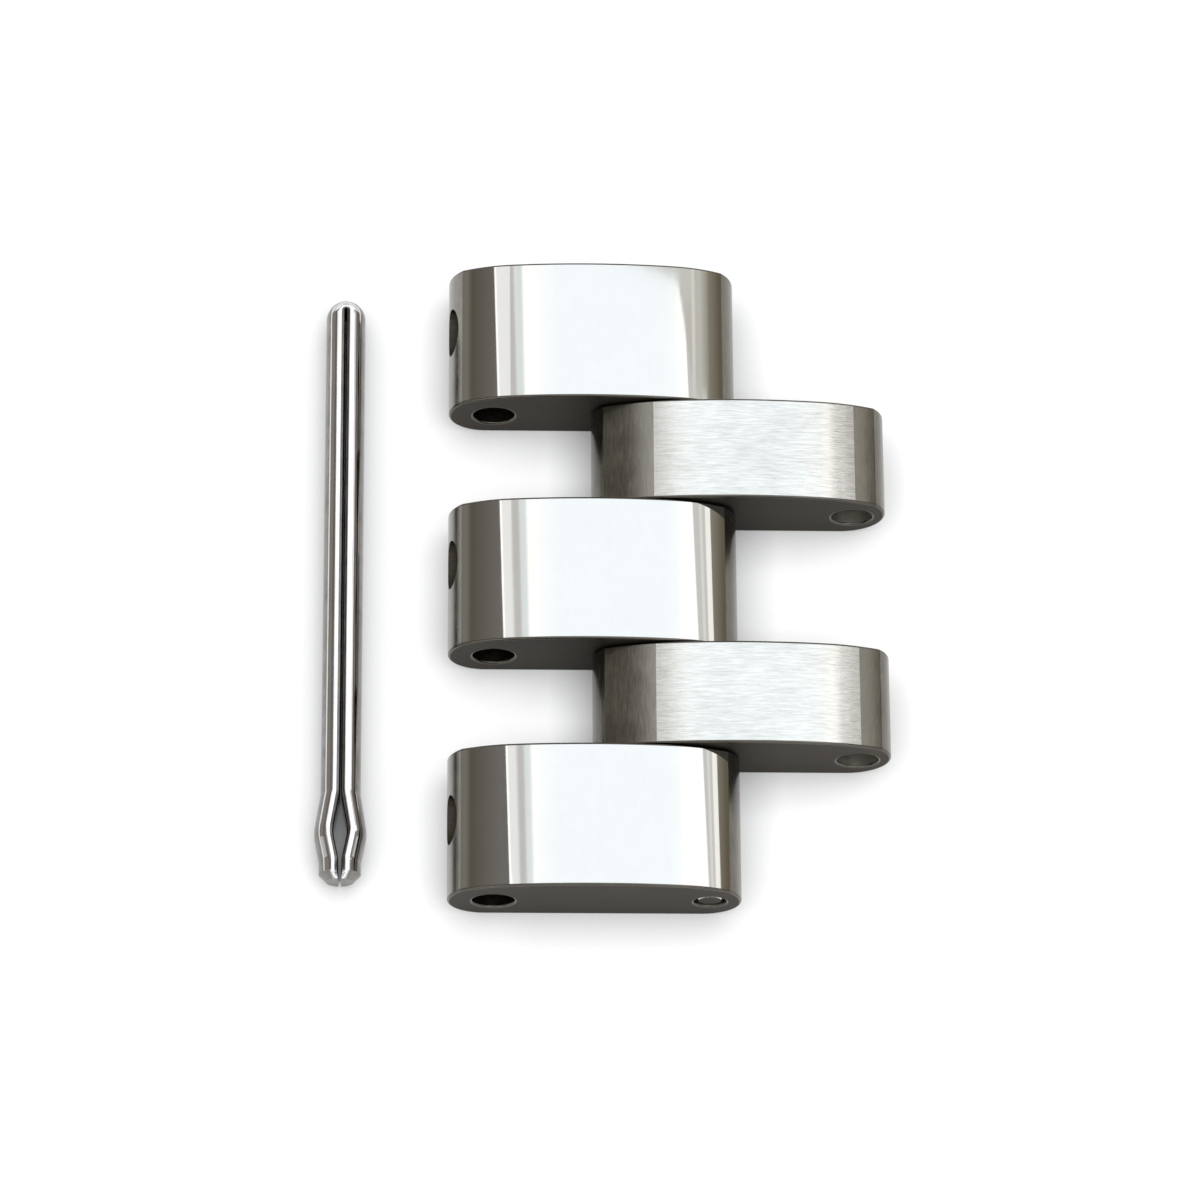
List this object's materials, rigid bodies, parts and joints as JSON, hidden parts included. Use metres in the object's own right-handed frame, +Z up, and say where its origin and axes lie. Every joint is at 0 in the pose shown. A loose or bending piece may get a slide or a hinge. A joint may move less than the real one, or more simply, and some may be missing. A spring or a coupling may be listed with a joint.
{
  "type": "watch bracelet link",
  "caption": "Removable watch bracelet link: polished outer and centre pieces and brushed pieces between them, turning on a hidden hinge pin, with a loose split pin for the next joint.",
  "frame": {"origin": "on the flat underside, under the middle of the overlap of the polished and brushed rows and at half the bracelet's width", "axes": "+X along the bracelet from the polished noses to the brushed tails, +Y across the bracelet along every pin and bore, +Z up through the crowned face"},
  "size_m": [0.0173, 0.02, 0.0029],
  "materials": {
    "polished_steel": "mirror-polished top, satin sides",
    "brushed_steel": "fine brushing along the bracelet on top, satin sides",
    "pin_steel": "bright drawn wire"
  },
  "bodies": {
    "outer_pieces": {"polished_link_back": "polished_steel", "polished_link_front": "polished_steel", "hinge_pin": "pin_steel"},
    "centre_piece": {"polished_link_centre": "polished_steel"},
    "brushed_piece_back": {"brushed_link_back": "brushed_steel"},
    "brushed_piece_front": {"brushed_link_front": "brushed_steel"},
    "loose_pin": {"split_pin": "pin_steel"}
  },
  "joints": [
    {"name": "centre_hinge", "type": "hinge", "parent": "outer_pieces", "child": "centre_piece", "pos_m": [0.00126, 0, 0.0012], "axis": [0, 1, 0], "range_deg": [-30, 30]},
    {"name": "brushed_back_hinge", "type": "hinge", "parent": "outer_pieces", "child": "brushed_piece_back", "pos_m": [0.00126, 0, 0.0012], "axis": [0, 1, 0], "range_deg": [-15, 30]},
    {"name": "brushed_front_hinge", "type": "hinge", "parent": "outer_pieces", "child": "brushed_piece_front", "pos_m": [0.00126, 0, 0.0012], "axis": [0, 1, 0], "range_deg": [-15, 30]},
    {"name": "split_pin_slide", "type": "slide", "parent": "outer_pieces", "child": "loose_pin", "axis": [0, 1, 0], "range_m": [0, 0.02]}
  ]
}
